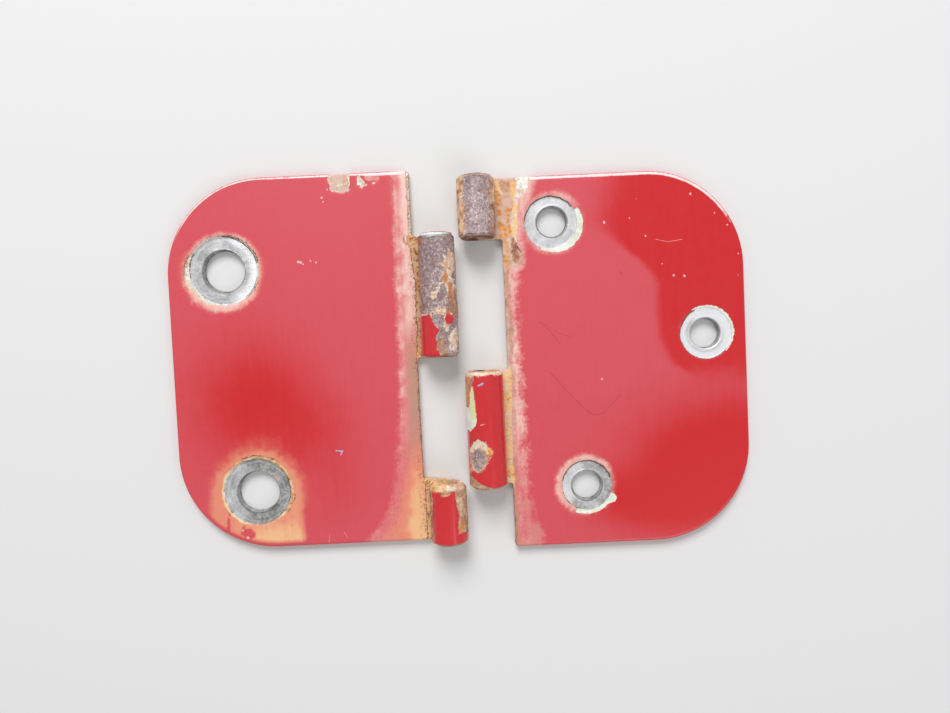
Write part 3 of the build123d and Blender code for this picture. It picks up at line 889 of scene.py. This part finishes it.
# the crust at the root of the knuckles, wide and rusty beside the upper one
root = along(y, (-31, -24.4, -21, -12.3, -2.9, -0.3, 4.8, 8.3, 13.5,
                 15.3, 15.9, 17.9, 18.8, 20.3, 24.1, 26.9, 28.1, 29.6),
             (8.4, 8.3, 8.5, 8.5, 9.0, 8.5, 8.9, 8.8, 8.4,
              8.7, 10.6, 11.3, 10.8, 10.7, 11.1, 11.1, 12.4, 13.1))
root = np.where(on_roll | (s < notch), 20, root)
crust = np.where(on_roll, np.where(lower, np.minimum(-second_red, -light_chip), 1.0),
                 root - x + 0.25 * rough + 0.2 * fine)
crust = np.where(under, -1.0, crust)
trail = np.maximum.reduce([
    stroke(x, y, 0.45, (10.2, 29.6), (10.4, 28.2), (10.8, 24.3), (10.3, 21.2)),
    stroke(x, y, 0.2, (9.4, 25.6), (9.3, 21)),
    stroke(x, y, 0.3, (7.8, 30.0), (7.8, 27.2), (8.0, 24.4), (7.9, 20.8)),
    stroke(x, y, 0.2, (8.8, 20.5), (8.5, 16)), stroke(x, y, 0.7, (8.2, 22.4), (9.4, 21.4))])
rusty = fade(trail + 0.3 * rough + 0.3 * fine, -0.6, 0.6)
patch = fade(stroke(x, y, 0.5, (10.15, 20.2), (10.4, 16.6)) + 0.3 * fine, -0.35, 0.4)
patch = np.maximum(patch, 0.5 * fade(spot(x, y, 9.1, 29.2, 1.1, 1.0) + 0.4 * fine, -0.5, 0.5))
white = np.maximum(cut(x, y, (11.1, 30.9), (13.2, 30.9), (13.2, 29.4), (12.3, 28.0), (11.0, 27.6)),
                   cut(x, y, (11.0, 28.4), (11.9, 27.9), (10.8, 26.1), (10.4, 26.9))) + 0.25 * fine
by_lower = (v > 32) & (v < 53)

# how rusty the crust and the steel are, and the painted shade on the knuckles' end faces
rust_and_shade = 0.33 + 0.25 * fine + 0.36 * rusty * fade(28.5 - y, 0, 3) + 0.45 * patch
notched = fade(0.25 - np.abs(s - notch), 0, 0.25)
rust_and_shade = np.where(~on_roll & (y < 15), 0.42 + 0.2 * fine + 0.25 * notched * ~by_lower - 0.15 * by_lower, rust_and_shade)
rust_and_shade = np.where(on_roll, rust_and_shade, rust_and_shade - 0.8 * fade(white, -0.3, 0.2))
steel_rust = 0.12 + 0.25 * fade(np.abs(u), 2.0, 3.1) + 0.12 * fade(v, 8.5, 10.4) + 0.2 * fine
tips = 0.64 * fade(-v, -33.7, -33.1) + 0.2 * fade(v, 51.6, 52)
rust_and_shade = np.where(on_roll, np.where(lower, 0.55 + 0.15 * fine - (turn > 75) * tips, steel_rust), rust_and_shade)
chip_rust = (0.35 + 0.3 * fine) * (1 - fade(0.5 * fine - v, -46.6, -45.8)) + 0.4 * fade(u, -0.4, 0.4)
rust_and_shade = np.where(on_roll & lower & (chip > -0.2) & ~ends, np.where(grey > -0.1, 0.47, chip_rust), rust_and_shade)
rust_and_shade = np.where(on_roll & ~lower & (side_flakes > -0.2), 0.42 + 0.9 * fine, rust_and_shade)
rust_and_shade = np.where(on_roll & ~outside, 0.8, rust_and_shade)
# the upper knuckle's end faces nearly black-brown: painted shade; the lower knuckle's ends are rust
rust_and_shade = np.where(ends, np.where(lower, 0.45, 1.1) + 0.25 * rough, rust_and_shade)
rust_and_shade = np.where(screw < 7, 0, rust_and_shade)
rust_and_shade = np.where(on_roll | under | (crust > -0.6), rust_and_shade, 0.15 + 0.2 * rough + 0.2 * fade(9.3 - x, 0, 0.8))
rust_and_shade = np.where(under, 0.3 + 0.3 * ragged(place, 9, 51), rust_and_shade)

# enamel worn thin along the root and round the seats; on the rounded top edge a near-white line is a
# painted highlight, partly enamel worn pale
pale_edge = along(y, (-30.8, -28.1, -21.1, -7.2, 4.8, 9.9, 16.3, 20.9, 25.9, 30),
                  (13.3, 11.7, 11.2, 10.7, 10.3, 10.3, 11.5, 12.0, 13.1, 14.2))
inside = pale_edge - x + 0.6 * rough
worn = fade(inside, -1.2, 1.5) * (0.85 + 0.3 * rough)
pale = 0.62 + 0.5 * ragged(place, 4, 33) - 0.5 * fade(-y, 8, 22)
upper_ring = ring(np.hypot(x - 17.0, y - 22.7), 4.7, 0.9)
lower_ring = ring(lower_screw, 4.45, 0.65 + 0.3 * arc(lower_turn, 90, 230, 70))
rings = np.maximum.reduce([
    (0.35 + 0.3 * arc(upper_turn, 60, 240, 40)) * upper_ring,
    0.15 * ring(outer_screw, 4.6, 0.6) * arc(outer_turn, 90, 200, 40),
    (0.5 + 0.7 * arc(lower_turn, 60, 215, 60)) * lower_ring])
worn = np.maximum(worn, rings * (1 + 0.7 * spokes(lower_turn, lower_screw, 77)))
# the painted highlight on the rounded top edge joins the worn enamel
worn = np.maximum(worn, lip_wear_and_highlight * (1.1 + 0.3 * rough))
worn = np.where(on_roll | under, 0, worn)
pale = np.where(upper_screw < 8, 0.5, np.where(screw < 8, 0.62, pale))
# near-white pink on the rounded top edge: the painted highlight
pale = np.where((lip_wear_and_highlight > 0.05) & (outer_screw > 7), 1.7, pale)
# near white on the upper knuckle's top chamfer: a painted highlight
upper_pale_and_highlight = 0.92 + 0.3 * fade(-v, -5, -1) + 1.3 * fade(-v, -1.0, -0.5) + 0.5 * ragged(place, 3, 39)
pale = np.where(on_roll, np.where(crust > 0, np.where(lower, 0.1, 0.4), upper_pale_and_highlight), pale)
pale = np.where(~on_roll & (crust > 0) & (y > 14), 0.62 - 0.5 * patch, pale)
pale = np.where(on_roll & lower & (grey > -0.4), 0.4, pale)
pale = np.where(under, 0.4 + 0.4 * ragged(place, 6, 63), pale)

# rust that stains the crust, the paint round the lower hole and the chips
stain = 0.05 + (0.9 + 0.5 * fine) * rusty + 0.58 * by_lower - 0.9 * fade(white, -0.3, 0.2)
stain = np.where(crust > 0, stain, 0)
stain = np.maximum(stain, 0.4 * ring(lower_screw, 4.4, 0.8) * (0.5 + 0.5 * arc(lower_turn, 120, 240, 40)))
ochre = np.maximum.reduce([
    spot(u, v, 0.3, 46.0, 0.6, 0.8), spot(u, v, -2.3, 45.5, 0.4, 0.7),
    spot(u, v, -2.4, 48.8, 0.8, 0.4, -40), spot(u, v, -2.9, 36.0, 0.35, 2.2)])
ochre = np.where(light_chip > -0.05, 0.9 * fade(u, -2.8, -2.4) * fade(-v, -40.9, -40.2),
                 0.1 + 0.75 * fade(ochre + 0.5 * fine, -0.1, 0.2))
flake_stain = 0.16 + 1.2 * np.maximum(-fine, 0) * (side_flakes > -0.2)
stain = np.where(on_roll, np.where(lower, ochre, flake_stain), stain)

# a paler, chalky red: a painted reflection of bright surroundings in the gloss, partly chalking of the
# enamel, but for the part on the right where no reflection is painted
reflection_edge = along(y, (-4.5, -2.2, 2.1, 6.6, 11.9, 14.8, 17.7, 20.9, 22.7, 30),
               (40, 36.3, 34.2, 33.9, 34.0, 32.3, 28.8, 26.0, 25.0, 27.0))
soft = fade(y, 17, 25)
clear_of_reflection = fade(x - reflection_edge + 0.3 * rough, -1.0 - 4.5 * soft, 1.4 + 3.5 * soft) * fade(y + rough, -8, -1)
chalk_and_reflection = 1.0 - 0.15 * fade(-y, 2, 12) - 1.3 * bloom(x, y, 46, -19.5, 19, 17) - 0.35 * bloom(x, y, 35, -18, 9, 7)
chalk_and_reflection = chalk_and_reflection - 0.75 * bloom(x, y, 32, -26, 14, 8) - 0.35 * bloom(x, y, 26, -24, 5, 6)
chalk_and_reflection = chalk_and_reflection * (1 - clear_of_reflection) - 0.02 * clear_of_reflection
# the outer rounding of each edge is left deep red: painted shade where the edge turns away
chalk_and_reflection = np.where(on_roll, 0.14, chalk_and_reflection - 0.9 * fade(0.28 - edge, 0, 0.12))

# how bright the steel is, and where dirt and painted shadow lie
wall = (screw < 2.3) | ((w < 1.3) & (screw < 2.5))
seat = np.where(lower_screw < 6, 0.44 + 0.3 * arc(lower_turn, 110, 220, 20), 0.0)
seat = np.where(upper_screw < 6.2, 0.7, np.where(outer_screw < 6, 1.05, seat))
seat = np.where(wall, 0.42, seat * ~under * (1 - 0.35 * (screw < 2.62)))
seat = seat - 0.45 * np.exp(-((outer_screw - 3.05) / 0.22) ** 2) * arc(outer_turn, 150, 330, 60) * ~wall
# dark lines along the top of each seat: painted shadows of the enamel's edge; the other arcs are dirt
dirt_and_shadow = np.where(lower_screw < 4.75, 1.2 * arc(lower_turn, 20, 160) + 0.4 * arc(lower_turn, 160, 250), 0.2)
dirt_and_shadow = np.where(outer_screw < 4.9, 0.9 * arc(outer_turn, 118, 160) + 0.5 * arc(outer_turn, 200, 320), dirt_and_shadow)
dirt_and_shadow = np.where(upper_screw < 4.95, 1.2 * arc(upper_turn, 38, 172), dirt_and_shadow)
dirt_and_shadow = np.where(~on_roll & (screw > 4.95), 0.0, dirt_and_shadow) + 0.4 * fine
dirt_and_shadow = np.where(~on_roll & (crust > 0) & (screw > 6), np.where(y > 12, 0.15, 0.5) + 0.3 * fine, dirt_and_shadow)
beside_root = 0.1 + 0.3 * fade(crust, -1.5, -0.4) * (y < 5) + 0.2 * fine
dirt_and_shadow = np.where(~on_roll & (crust < -0.3) & (screw > 6), beside_root, dirt_and_shadow)
dirt_and_shadow = np.where(under, 0, dirt_and_shadow)

# primer: a crescent beside each seat, one chip near the bottom, and what lies under the light chip
crescents = np.maximum.reduce([
    np.minimum(4.8 - np.hypot(x - 17.2, y - 22.55), 2 * arc(upper_turn, -115, 24, 4) - 1),
    np.minimum(4.6 - np.hypot(x - 42.5, y - 2.95), 2 * arc(outer_turn, -40, 115, 6) - 1),
    np.minimum(4.95 - lower_screw, 2 * arc(lower_turn, -112, -30, 6) - 1),
    spot(x, y, 24.9, -24.9, 1.0, 0.9)]) + 0.08 * fine
primer = bare + np.where(screw < 7, -0.1, 0.05 + 0.3 * ragged(place, 1.1, 57) - 0.4 * (on_roll & lower))
shown = np.where(on_roll, np.where(lower & outside & (turn > 75), light_chip, -1), crescents)
primer = np.where(under, bare, np.maximum(primer, shown))

depth = let_in(on_roll, bare, crust, worn, seat, fine, ragged(place, 0.8, 61))
depth = depth + 0.1 * fade(primer, -0.12, 0.12) * (1 - fade(bare, -0.12, 0.12))
burr = np.exp(-((outer_screw - 2.75) / 0.18) ** 2)
depth = np.minimum(depth, deepest) - 0.08 * burr * (w > 1.4)
right_leaf = leaf_mesh("right_leaf_worn", place, quads[:, ::-1], {
    "bare": bare, "primer": primer, "crust": crust, "worn": worn, "stain": stain, "chalk_and_reflection": chalk_and_reflection, "rust_and_shade": rust_and_shade,
    "seat": seat, "pale": pale, "dirt_and_shadow": dirt_and_shadow, "screw": np.minimum(screw, 12)}, np.maximum(depth, 0))
right_leaf.data.materials.append(paint)
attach(right_leaf, "root")
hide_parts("right_leaf")
